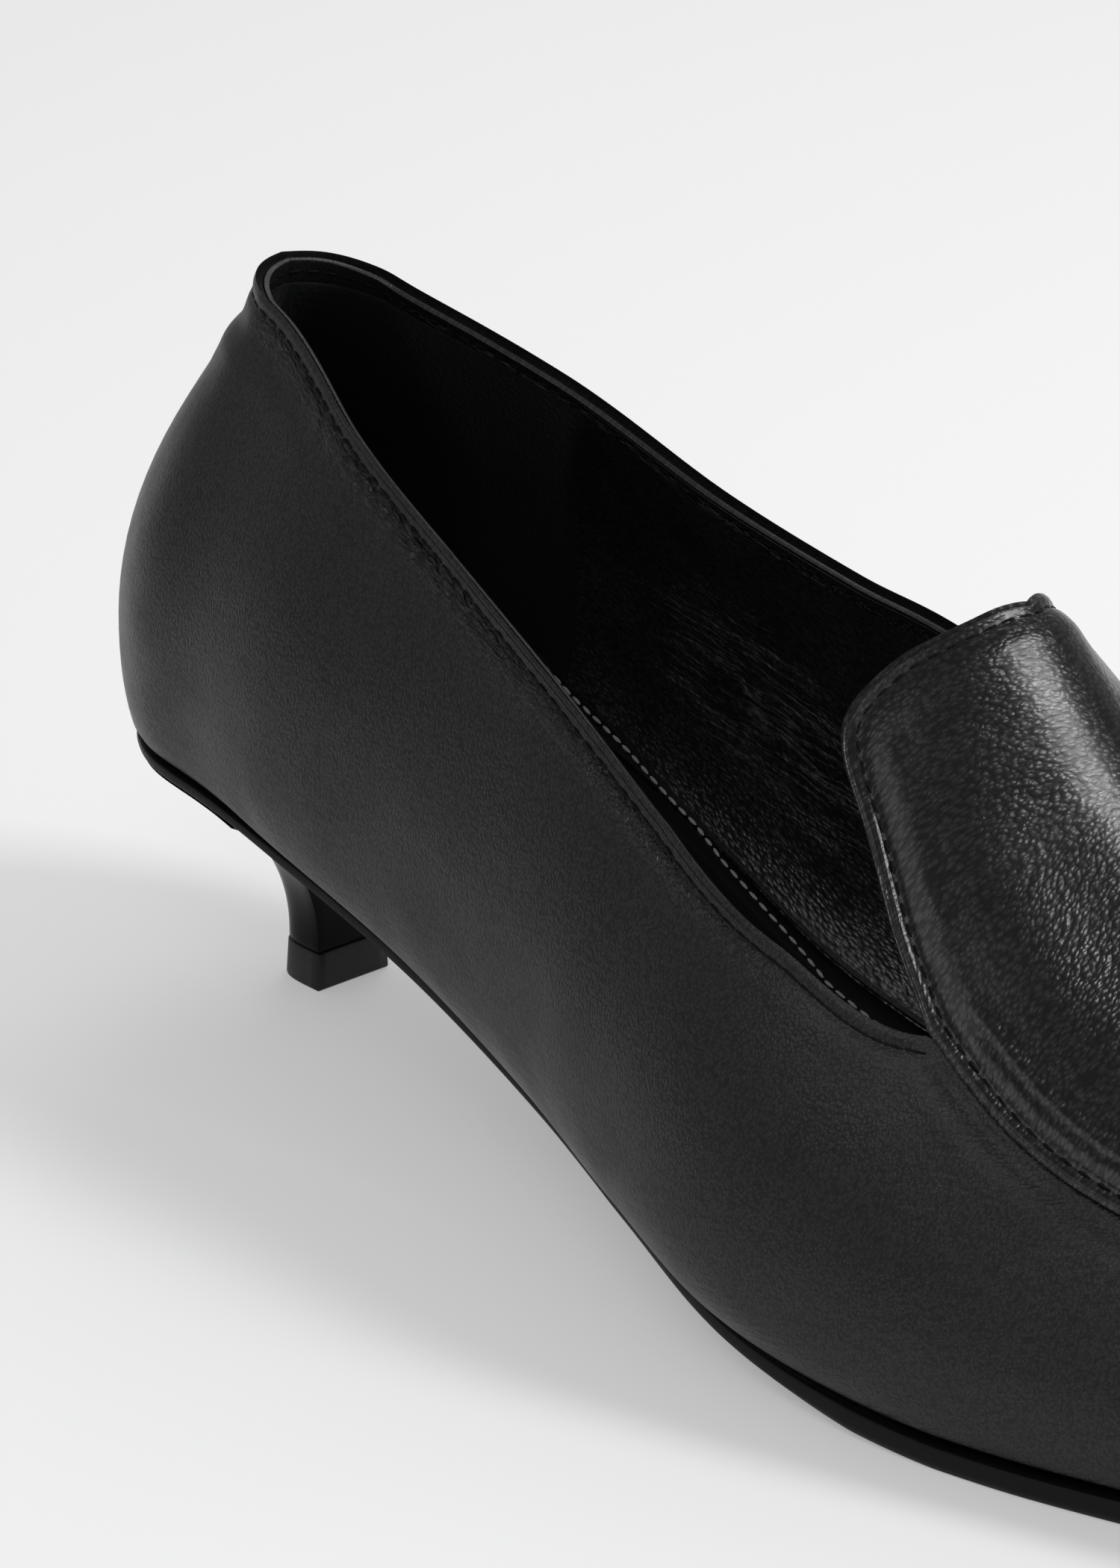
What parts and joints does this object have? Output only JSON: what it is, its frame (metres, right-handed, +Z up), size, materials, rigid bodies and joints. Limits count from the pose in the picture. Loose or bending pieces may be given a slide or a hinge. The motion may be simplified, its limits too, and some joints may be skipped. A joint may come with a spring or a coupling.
{
  "type": "kitten heel loafer",
  "caption": "Right kitten heel loafer: smooth black wrap upper, lapped apron with a free tongue, thin outsole and a slim low heel.",
  "frame": {"origin": "middle of the shoe's box, on the floor that it stands on", "axes": "+X from heel to toe, +Z up, outer side of the foot at -Y"},
  "size_m": [0.258, 0.0854, 0.0953],
  "materials": {
    "upper_leather": "smooth black calf, satin, fine grain",
    "apron_leather": "black pebbled nappa, glossier than the wrap",
    "lining_leather": "thin black grained lining leather",
    "heel_grip_suede": "black suede at the inside of the heel",
    "sock_leather": "matt black sock leather",
    "thread": "black polyester thread",
    "sock_thread": "light grey thread along the sock edge",
    "outsole_leather": "dark grey painted sole edge",
    "heel_lacquer": "high gloss black lacquer on moulded plastic",
    "top_piece_rubber": "hard black rubber"
  },
  "bodies": {
    "root": {"upper": "upper_leather", "apron": "apron_leather", "insole_sock": "sock_leather", "outsole": "outsole_leather", "heel": "heel_lacquer", "top_piece": "top_piece_rubber"}
  },
  "joints": []
}
